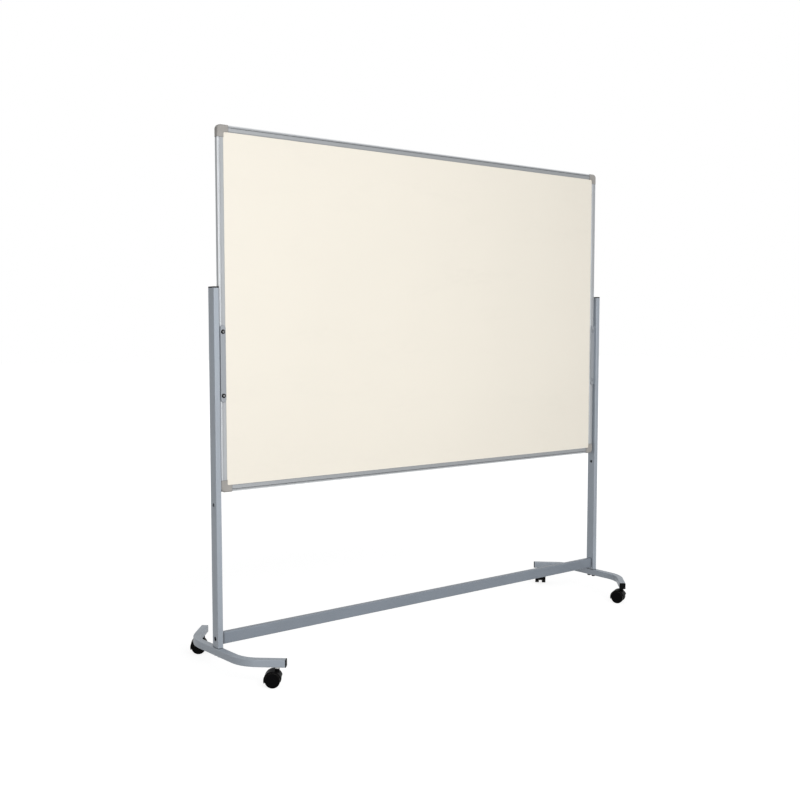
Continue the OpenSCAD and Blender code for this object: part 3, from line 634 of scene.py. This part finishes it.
def zinc_plate(looks, name):
    """Plated steel: a faint warm and cool bloom in the passivation, and bright edges."""
    material, wire = start_finish(name)
    point = wire.coords()
    worn = wire.place(edge_wear, radius=0.0004, patch=0.004, amount=looks.wear)
    bloom = wire.noise(point, 190.0, 3.0)
    cool = opaque(np.array(looks.zinc) * (0.90, 0.94, 1.0))
    warm = opaque(np.array(looks.zinc) * (1.06, 1.0, 0.88))
    tone = wire.mix(wire.span(bloom, 0.35, 0.65), cool, warm)
    return finished(
        material,
        tint=wire.mix(worn["Mask"], tone, opaque(looks.bare_metal, 1.3)),
        rough=wire.span(wire.noise(point, 700.0, 3.0), 0.3, 0.7, 0.26, 0.38),
        normal=wire.bump(bloom, 0.0002, 0.08, worn["Normal"]),
        metal=1.0,
    )


def black_oxide(looks, name):
    """Blackened steel: an oily, blotched dark skin worn to bare metal at its edges."""
    material, wire = start_finish(name)
    worn = wire.place(edge_wear, radius=0.0005, patch=0.005, amount=min(1.0, 2 * looks.wear))
    blotch = wire.span(wire.noise(wire.coords(), 160.0, 4.0), 0.3, 0.7)
    tone = wire.mix(blotch, opaque(looks.black_oxide, 0.7), opaque(looks.black_oxide, 1.4))
    return finished(
        material,
        tint=wire.mix(worn["Mask"], tone, opaque(looks.bare_metal)),
        rough=wire.span(blotch, 0.0, 1.0, 0.32, 0.48),
        normal=wire.bump(blotch, 0.0001, 0.1, worn["Normal"]),
        metal=worn["Mask"],
        shine=0.15,
    )


def clamp_screw_finish(looks):
    """The clamps' screws: black, with a painted glint on their crowns near their tops, and painted
    with the strap on the right."""
    material = black_oxide(looks, "Clamp screw steel")
    wire = Wiring(material.node_tree)
    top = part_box("clamp_screws")[0].y
    # Painted glint: the top of the crown is laid over with bright metal's colour
    crown = wire.span(wire.part(wire.coords(), "Y"), top + CROWN_RUB, top + CROWN_RUB / 3)
    lay_over(material, crown, looks.bare_metal)
    return lay_over(material, wire.place(right_half)["Mask"], looks.strap_paint)


def wheel_finish(looks, castor):
    """Black nylon wheel: distance from the axle gives a scuffed tread and fine rings on the disc. The
    wheel's radius is its axle's height over its lowest point."""
    ring_pitch, tread_from, tread_to = 0.0012, 0.0025, 0.0006
    wheel = f"{castor}_wheel_a"
    turning = next(joint for joint in frame["joints"] if joint["name"] == f"{wheel}_spin")
    across = turning["axis"]
    radius = float(turning["pos_m"][2] - solid_points(wheel)[:, 2].min())
    material, wire = start_finish(f"Castor nylon {castor.replace('_', ' ')}")
    inputs = {
        "Vector": wire.coords(),
        "Location": turning["pos_m"],
        "Rotation": (0, 0, math.atan2(-across[0], across[1])),
    }
    own = wire.add("Mapping", inputs, vector_type="TEXTURE").outputs[0]
    out = wire.vector("LENGTH", wire.vector("MULTIPLY", own, (1, 0, 1)))
    tread = wire.span(out, radius - tread_from, radius - tread_to)
    rolling = wire.vector("MULTIPLY", own, (420, 90, 420))
    scuffs = wire.span(wire.noise(rolling, 1.0, 4.0), 0.35, 0.7)
    rolled = wire.times(wire.times(tread, scuffs), 0.12)
    texture = wire.place(moulded_grain, size=0.0008)
    worn = wire.place(edge_wear, radius=0.0008, patch=0.01, amount=looks.wear)
    deep, pale = opaque(looks.castor, 0.85), opaque(looks.castor, 1.2)
    tone = wire.mix(wire.span(texture["Tone"], 0.3, 0.7), deep, pale)
    edged = wire.mix(worn["Mask"], tone, opaque(looks.castor, 3.0))
    rings = wire.math("SINE", wire.times(out, 2 * math.pi / ring_pitch))
    height = wire.plus(wire.times(rings, 0.25), texture["Height"])
    return finished(
        material,
        tint=wire.mix(rolled, edged, opaque(looks.dust)),
        rough=wire.plus(wire.span(texture["Tone"], 0.2, 0.8, 0.34, 0.44), rolled),
        normal=wire.bump(height, 0.00015, 0.18, worn["Normal"]),
        shine=0.04,
    )


# Measures taken from the packed model


def rectangle(left, right, low, high):
    """Middle and half sizes of an upright rectangle."""
    return ((left + right) / 2, 0.0, (low + high) / 2), ((right - left) / 2, 0.0, (high - low) / 2)


def opening():
    """Middle and half sizes of the opening that the frame's bars leave for the sheet."""
    left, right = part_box("frame_left")[1].x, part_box("frame_right")[0].x
    low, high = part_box("frame_bottom")[1].z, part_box("frame_top")[0].z
    return rectangle(left, right, low, high)


def bar_lengths():
    """Middle and half sizes of the rectangle that the bars' ends, and so the caps' seams, lie on."""
    start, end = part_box("frame_top")
    low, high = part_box("frame_left")
    return rectangle(start.x, end.x, low.z, high.z)


def solid_points(node):
    """All points of a solid, one row each."""
    vertices = frame["nodes"][node].data.vertices
    flat = np.empty(3 * len(vertices))
    vertices.foreach_get("co", flat)
    return flat.reshape(-1, 3)


def lumps(node, axes, gap=0.008):
    """Points of a node's separate solids: points are parted along each axis wherever two neighbours
    lie further apart than the gap, and each mix of parts that holds points is one solid."""
    points = solid_points(node)
    part = np.zeros(len(points), int)
    for axis in axes:
        order = np.argsort(points[:, axis])
        steps = np.diff(points[order, axis]) > gap
        along = np.empty(len(points), int)
        along[order] = np.concatenate([[0], np.cumsum(steps)])
        part = part * (along.max() + 1) + along
    return [points[part == one] for one in np.unique(part)]


def spans(points):
    """Sizes of a solid's box."""
    return points.max(0) - points.min(0)


def middle_of(points):
    """Middle of a solid's box."""
    return (points.max(0) + points.min(0)) / 2


def top_of(points, axes):
    """Middle of a solid's box on the face that its own Z points out of."""
    out = axes[:, 2]
    return middle_of(points) + out * np.abs(out @ spans(points)) / 2


def corner_of(points):
    """The point on plan of a hexagon-head bolt that lies furthest from its axis, from that axis."""
    plan = (points - middle_of(points))[:, :2]
    return plan[np.argmax(np.linalg.norm(plan, axis=1))]


# Surfaces


def grid_faces(stations, ring):
    """Quads of a grid of stations by steps round an axis: each joins two steps of two stations.
    A ring also joins the last station to the first."""
    steps = ROUND_STEPS
    station = np.arange(stations if ring else stations - 1)[:, None]
    step = np.arange(steps)[None, :]
    later = (station + 1) % stations
    beside = (step + 1) % steps
    near = (station * steps + step, station * steps + beside)
    far = (later * steps + beside, later * steps + step)
    return np.stack(np.broadcast_arrays(*near, *far), axis=-1).reshape(-1, 4)


def turned_points(radius, height):
    """Points of stations turned about Z: x = r cos a, y = r sin a, z = h, with the angle a in even
    steps; radius and height hold a row for each station, and a column for each step or just one."""
    radius, height = np.broadcast_arrays(radius, height, TURN)[:2]
    return np.stack([radius * np.cos(TURN), radius * np.sin(TURN), height], axis=-1)


def turned(stations):
    """Points of a list of round stations, each a radius and a height."""
    radius, height = np.asarray(stations, float).T
    return turned_points(radius[:, None], height[:, None])


def dome(radius, rise, power, stations):
    """Points of a dome from its top to its rim: r = R s^(2/p) and z = h (c^(2/p) - 1), with s and
    c the sine and cosine of a quarter turn, so a power of 2 is an ellipse and more is fuller."""
    quarter = np.linspace(0, np.pi / 2, stations)
    out = radius * np.sin(quarter) ** (2 / power)
    down = rise * (np.clip(np.cos(quarter), 0, 1) ** (2 / power) - 1)
    return turned(np.stack([out, down], axis=-1))


def cross_recess(points, across, depth):
    """Sinks a cross into points: two bars at right angles, each the product of two soft-edged steps,
    and the deeper of them taken times the depth."""
    soft = across / 14
    half = across / 2
    lean = across / 6.5

    def bar(along, beside):
        within = np.clip((half - np.abs(along)) / soft + 0.5, 0, 1)
        return within * np.clip((lean - np.abs(beside)) / soft + 0.5, 0, 1)

    x, y = points[..., 0], points[..., 1]
    sunk = np.array(points)
    sunk[..., 2] -= depth * np.maximum(bar(x, y), bar(y, x))
    return sunk


def hexagon_reach(across):
    """Distance from a hexagon's middle to its side at each step, its corners on X: half its width
    across flats over the cosine of the turn from the nearest flat's middle."""
    return across / 2 / np.cos(np.mod(TURN, np.pi / 3) - np.pi / 6)


def clamp_screw(head_radius, reach, sizes):
    """Raised countersunk screw: a dome with a cross, a cone, and a shank whose tail is threaded.
    The thread adds to the radius a triangle wave of height over pitch less the turn."""
    rim, shoulder = 0.0001, 0.0002
    shank = sizes.clamp_shank / 2
    crown = sizes.clamp_crown
    head = cross_recess(dome(head_radius, crown, 2, 40), sizes.clamp_recess, CLAMP_CROSS_DEPTH)
    start = sizes.thread_length - reach
    cone = [(head_radius, -crown - rim), (shank, -crown - sizes.clamp_cone), (shank, start + shoulder)]
    height = np.linspace(start, -reach + THREAD_DEPTH, 72)[:, None]
    turn = np.arange(ROUND_STEPS) / ROUND_STEPS
    wave = np.abs(2 * np.mod(height / sizes.thread_pitch - turn, 1) - 1)
    fade = np.clip((start - height) / sizes.thread_pitch, 0, 1)
    thread = turned_points(shank - THREAD_DEPTH * wave * fade, height)
    tail = [(shank - THREAD_DEPTH, -reach), (0, -reach)]
    return np.concatenate([head, turned(cone), thread, turned(tail)])


def cap_screw(head_radius, reach, sizes):
    """Pan-head screw: a full dome with a cross, its flat underside, and a plain shank."""
    shank = sizes.cap_shank / 2
    head = cross_recess(dome(head_radius, sizes.cap_head, 3, 34), sizes.cap_recess, CAP_CROSS_DEPTH)
    return np.concatenate([head, turned([(shank, -sizes.cap_head), (shank, -reach), (0, -reach)])])


def base_bolt(across, reach, sizes):
    """Hexagon-head bolt: a dished and chamfered head, and a plain shank. Beyond the chamfer's start
    the head's rim drops by the extra reach times the chamfer's slope."""
    side = hexagon_reach(across)
    flat = 0.93 * across / 2
    rim = -(side - flat) * CHAMFER
    under = np.full(ROUND_STEPS, -sizes.base_head)
    shank = sizes.base_shank / 2
    dish = [(0, -DISH), (0.62 * flat, -DISH), (0.72 * flat, 0), (flat, 0)]
    sides = turned_points(np.stack([side, side]), np.stack([rim, under]))
    tail = [(shank, -sizes.base_head), (shank, -reach), (0, -reach)]
    return np.concatenate([turned(dish), sides, turned(tail)])


def clamp_nut(across, thick, sizes):
    """Hexagon nut as a ring of stations: bore, countersink, face, chamfered rim, side, and back."""
    side = hexagon_reach(across)
    flat = 0.95 * across / 2
    drop = (side - flat) * CHAMFER
    bore = sizes.clamp_shank / 2
    low = [(bore, -thick + SINK), (bore + SINK, -thick), (flat, -thick)]
    sides = turned_points(np.stack([side, side]), np.stack([drop - thick, -drop]))
    high = [(flat, 0), (bore + SINK, 0), (bore, -SINK)]
    return np.concatenate([turned(low), sides, turned(high)])


def spun(axes, turn):
    """A fastener's axes, turned about its own Z by each of the turns."""
    along, across, flat = np.cos(turn), np.sin(turn), np.zeros(len(turn))
    about = np.array([[along, -across, flat], [across, along, flat], [flat, flat, flat + 1]])
    return axes @ about.transpose(2, 0, 1)


def add_object(name, points, faces, material):
    """An object with a mesh of points and faces, and one material."""
    mesh = bpy.data.meshes.new(name)
    mesh.from_pydata(points.tolist(), [], faces.tolist())
    mesh.materials.append(material)
    made = bpy.data.objects.new(name, mesh)
    bpy.context.scene.collection.objects.link(made)
    return made


def make_piece(name, points, solids, axes, turn, material, slot, replaced, ring=False):
    """One object of like fasteners that ride on the stand, one for each solid: a shape's points p go
    to A p + m, with A the axes turned about their own Z and m the middle of the solid's head, and
    the faces' indices shift by the shape's count."""
    shape = points.reshape(-1, 3)
    middles = np.array([top_of(solid, axes) for solid in solids])
    placed = np.einsum("nij,vj->nvi", spun(axes, turn), shape) + middles[:, None, :]
    shift = len(shape) * np.arange(len(solids))[:, None, None]
    faces = (grid_faces(len(points), ring)[None] + shift).reshape(-1, 4)
    piece = add_object(name, placed.reshape(-1, 3), faces, material)
    close_shell(piece.data)
    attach(piece, "stand")
    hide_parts(replaced)


def close_shell(mesh):
    """Welds seams and poles, turns the faces outwards and smooths all but sharp creases."""
    shell = bmesh.new()
    shell.from_mesh(mesh)
    bmesh.ops.remove_doubles(shell, verts=shell.verts, dist=WELD)
    bmesh.ops.dissolve_degenerate(shell, edges=shell.edges, dist=WELD / 10)
    bmesh.ops.recalc_face_normals(shell, faces=shell.faces)
    shell.to_mesh(mesh)
    shell.free()
    mesh.shade_smooth()
    mesh.set_sharp_from_angle(angle=CREASE)


# Operators


class WHITEBOARD_OT_panel(bpy.types.Operator):
    """Finishes the writing sheet, its core and the sheet on its back"""

    bl_idname = "whiteboard.panel"
    bl_label = "Panel"

    def execute(self, context):
        looks = context.scene.whiteboard_finishes
        coat(enamel_finish(looks), "writing_surface")
        coat(core_finish(looks), "core_panel")
        coat(backing_finish(looks), "backing_sheet")
        return {"FINISHED"}


class WHITEBOARD_OT_frame(bpy.types.Operator):
    """Finishes the frame's bars, with the drawn lines along each bar"""

    bl_idname = "whiteboard.frame"
    bl_label = "Frame bars"

    def execute(self, context):
        looks = context.scene.whiteboard_finishes
        level = {"stretch": (2.0, 900.0, 900.0), "outward": (0.0, 0.0, 1.0), "start": 0.15}
        level |= {"light": 1.0, "groove": 1.0, "seam": 0.1}
        # The upright bars: painted brighter as a painted sheen, with the painted highlight starting
        # further out and little painted shade in the groove
        upright = {"stretch": (900.0, 900.0, 2.0), "outward": (1.0, 0.0, 0.0), "start": 0.42}
        upright |= {"light": 1.25, "groove": 0.1, "seam": 0.35}
        coat(aluminium_finish(looks, "Anodised bar, level", **level), "frame_top", "frame_bottom")
        coat(aluminium_finish(looks, "Anodised bar, upright", **upright), "frame_left", "frame_right")
        return {"FINISHED"}


class WHITEBOARD_OT_corners(bpy.types.Operator):
    """Finishes the corner caps and makes their screws"""

    bl_idname = "whiteboard.corners"
    bl_label = "Corner caps"

    def execute(self, context):
        looks = context.scene.whiteboard_finishes
        coat(corner_finish(looks), *(f"corner_cap_{corner}" for corner in CORNERS))
        solids = lumps("corner_cap_screws", (0, 2))
        across, reach = spans(solids[0])[:2]
        make_piece(
            "pan_head_screws",
            cap_screw(across / 2, reach, context.scene.whiteboard_fasteners),
            solids,
            HEAD_TO_BACK,
            RECESS_TURN * np.arange(len(solids)),
            shared_finish(zinc_plate, looks),
            "zinc_steel",
            "corner_cap_screws",
        )
        return {"FINISHED"}


class WHITEBOARD_OT_clamps(bpy.types.Operator):
    """Finishes the straps, angles and rings, and makes the clamps' screws and nuts"""

    bl_idname = "whiteboard.clamps"
    bl_label = "Board clamps"

    def execute(self, context):
        looks = context.scene.whiteboard_finishes
        sizes = context.scene.whiteboard_fasteners
        plated = shared_finish(zinc_plate, looks)
        # The straps' powder coat, a shade darker as painted shade
        straps = paint_finish(looks, "Strap paint", looks.strap_paint)
        coat(straps, *(f"{side}_clamp_strap" for side in SIDES))
        coat(shared_finish(stand_paint, looks), *(f"{side}_board_bracket" for side in SIDES))
        coat(ring_finish(looks), "clamp_washers")
        coat(plated, "bracket_screws", "bracket_inserts")
        solids = lumps("clamp_screws", (0, 2))
        across, reach = spans(solids[0])[:2]
        make_piece(
            "raised_head_screws",
            clamp_screw(across / 2, reach, sizes),
            solids,
            HEAD_TO_FRONT,
            RECESS_TURN * np.arange(len(solids)),
            clamp_screw_finish(looks),
            "black_steel",
            "clamp_screws",
        )
        solids = lumps("clamp_nuts", (0, 2))
        _, thick, across = spans(solids[0])
        make_piece(
            "hexagon_nuts",
            clamp_nut(across, thick, sizes),
            solids,
            HEAD_TO_FRONT,
            np.zeros(len(solids)),
            plated,
            "zinc_steel",
            "clamp_nuts",
            ring=True,
        )
        return {"FINISHED"}


class WHITEBOARD_OT_stand(bpy.types.Operator):
    """Finishes the posts, the rail, the feet and their plugs, and makes the base bolts"""

    bl_idname = "whiteboard.stand"
    bl_label = "Stand"

    def execute(self, context):
        looks = context.scene.whiteboard_finishes
        painted = shared_finish(stand_paint, looks)
        plugs = plastic_finish(
            looks, "Plug plastic", looks.black, grain=0.0009, rough=0.44, light=3.0, shine=0.06, dusty=0.3
        )
        blackened = black_oxide(looks, "Black oxide")
        coat(rail_finish(looks), "cross_rail")
        for side in SIDES:
            coat(painted, f"{side}_upright", f"{side}_foot")
            coat(plugs, f"{side}_upright_cap", f"{side}_rail_plug", f"{side}_base_plug")
        coat(plugs, *(f"{castor}_foot_cap" for castor in CASTORS))
        coat(blackened, "rail_bolts")
        coat(shared_finish(zinc_plate, looks), "castor_sockets")
        solids = lumps("base_bolts", (0, 1))
        corners = np.array([corner_of(solid) for solid in solids])
        across = 2 * np.linalg.norm(corners[0]) * math.cos(math.pi / 6)
        make_piece(
            "hexagon_bolts",
            base_bolt(across, spans(solids[0])[2], context.scene.whiteboard_fasteners),
            solids,
            HEAD_DOWN,
            -np.arctan2(corners[:, 1], corners[:, 0]),
            blackened,
            "black_steel",
            "base_bolts",
        )
        return {"FINISHED"}


class WHITEBOARD_OT_castors(bpy.types.Operator):
    """Finishes the castors' stems, hoods, axles and wheels"""

    bl_idname = "whiteboard.castors"
    bl_label = "Castors"

    def execute(self, context):
        looks = context.scene.whiteboard_finishes
        plated = shared_finish(zinc_plate, looks)
        hood = plastic_finish(
            looks, "Hood nylon", looks.castor, grain=0.0009, rough=0.40, light=3.0, shine=0.04, dusty=0.2
        )
        for castor in CASTORS:
            coat(plated, f"{castor}_stem", f"{castor}_axle")
            coat(hood, f"{castor}_hood")
            coat(wheel_finish(looks, castor), f"{castor}_wheel_a", f"{castor}_wheel_b")
        return {"FINISHED"}


class WHITEBOARD_OT_studio(bpy.types.Operator):
    """Sets the camera, the lamps, the pale floor and the white around it"""

    bl_idname = "whiteboard.studio"
    bl_label = "Studio"

    def execute(self, context):
        scene = context.scene
        studio = scene.whiteboard_studio
        scene.view_settings.view_transform = "Standard"
        set_camera(scene, studio)
        add_lamp("Key lamp", studio.key_place, studio.key_power, width=3.2, height=3.2)
        add_lamp("Strip lamp", studio.strip_place, studio.strip_power, width=0.4, height=2.4)
        set_world(scene, studio)
        lay_floor(studio)
        return {"FINISHED"}


def set_camera(scene, studio):
    """A camera at the studio's place, tilt, turn and focal length."""
    camera = bpy.data.objects.new("Camera", bpy.data.cameras.new("Camera"))
    camera.data.lens = studio.lens
    camera.data.sensor_width = SENSOR_WIDTH
    camera.location = studio.camera_place
    camera.rotation_euler = (studio.camera_tilt, 0, studio.camera_turn)
    scene.collection.objects.link(camera)
    scene.camera = camera


def add_lamp(name, middle, power, width, height):
    """A flat lamp that looks at the middle of the object."""
    data = bpy.data.lights.new(name, "AREA")
    data.shape = "RECTANGLE"
    data.energy = power
    data.size = width
    data.size_y = height
    lamp = bpy.data.objects.new(name, data)
    lamp.location = middle
    aim = (CAD_BOX[0] + CAD_BOX[1]) / 2 - lamp.location
    lamp.rotation_euler = aim.to_track_quat("-Z", "Y").to_euler()
    bpy.context.scene.collection.objects.link(lamp)


def seen_straight(wire):
    """1 for rays from the camera, in a reflection or through glass, and 0 for rays that carry light."""
    path = wire.add("LightPath").outputs
    seen = wire.math("MAXIMUM", path["Is Camera Ray"], path["Is Glossy Ray"])
    return wire.math("MAXIMUM", seen, path["Is Transmission Ray"])


def set_world(scene, studio):
    """White where it is seen, and an even light of the ambient strength elsewhere."""
    world = bpy.data.worlds.new("Studio")
    world.use_nodes = True
    scene.world = world
    wire = Wiring(world.node_tree)
    light = world.node_tree.nodes["Background"].inputs
    light["Color"].default_value = WHITE
    inputs = {"Value": seen_straight(wire), 3: studio.ambient, 4: 1.0}
    wire.feed(light["Strength"], wire.add("MapRange", inputs).outputs[0])


def lay_floor(studio):
    """A wide floor, a flat grid just under the wheels, that shows white but for the object's shadow."""
    x, y = np.meshgrid([-FLOOR_HALF, FLOOR_HALF], [-FLOOR_HALF, FLOOR_HALF])
    points = np.stack([x, y, np.full_like(x, CAD_BOX[0].z - FLOOR_DROP)], axis=-1).reshape(-1, 3)
    material, wire = start_finish("Pale floor")
    shader = shader_of(material)
    shader["Base Color"].default_value = opaque(studio.floor)
    shader["Roughness"].default_value = 0.9
    shader["Specular IOR Level"].default_value = 0.0
    shader["Emission Color"].default_value = WHITE
    away = wire.vector("LENGTH", wire.coords())
    white = wire.span(away, *GLOW_RISE, studio.floor_glow, 1.0)
    wire.feed(shader["Emission Strength"], wire.times(seen_straight(wire), white))
    floor = add_object("Floor", points, np.array([[0, 1, 3, 2]]), material)
    floor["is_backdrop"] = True


class WHITEBOARD_PT_sidebar(bpy.types.Panel):
    """Lists the steps and what they take"""

    bl_label = "Rolling whiteboard"
    bl_idname = "WHITEBOARD_PT_sidebar"
    bl_space_type = "VIEW_3D"
    bl_region_type = "UI"
    bl_category = "Whiteboard"

    def draw(self, context):
        for step in STEPS:
            self.layout.operator(step.bl_idname)
        for attribute, group in SETTINGS.items():
            held = getattr(context.scene, attribute)
            box = self.layout.box()
            box.label(text=group.__doc__)
            for name in group.__annotations__:
                box.prop(held, name)


SETTINGS = {
    "whiteboard_finishes": WhiteboardFinishes,
    "whiteboard_fasteners": WhiteboardFasteners,
    "whiteboard_studio": WhiteboardStudio,
}
STEPS = (
    WHITEBOARD_OT_panel,
    WHITEBOARD_OT_frame,
    WHITEBOARD_OT_corners,
    WHITEBOARD_OT_clamps,
    WHITEBOARD_OT_stand,
    WHITEBOARD_OT_castors,
    WHITEBOARD_OT_studio,
)
CLASSES = (*SETTINGS.values(), *STEPS, WHITEBOARD_PT_sidebar)


def register():
    """Adds the classes, and the settings to the scene."""
    for made in CLASSES:
        bpy.utils.register_class(made)
    for attribute, group in SETTINGS.items():
        setattr(bpy.types.Scene, attribute, bpy.props.PointerProperty(type=group))


def unregister():
    """Takes the settings from the scene, and the classes away."""
    for attribute in SETTINGS:
        delattr(bpy.types.Scene, attribute)
    for made in reversed(CLASSES):
        bpy.utils.unregister_class(made)


def main():
    """Builds the looks step by step, and works out the solids' box and the finished one."""
    register()
    bpy.ops.whiteboard.panel()
    bpy.ops.whiteboard.frame()
    bpy.ops.whiteboard.corners()
    bpy.ops.whiteboard.clamps()
    bpy.ops.whiteboard.stand()
    bpy.ops.whiteboard.castors()
    bpy.ops.whiteboard.studio()
    boxes = {"cad": CAD_BOX, "visual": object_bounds()}


if __name__ == "__main__":
    main()
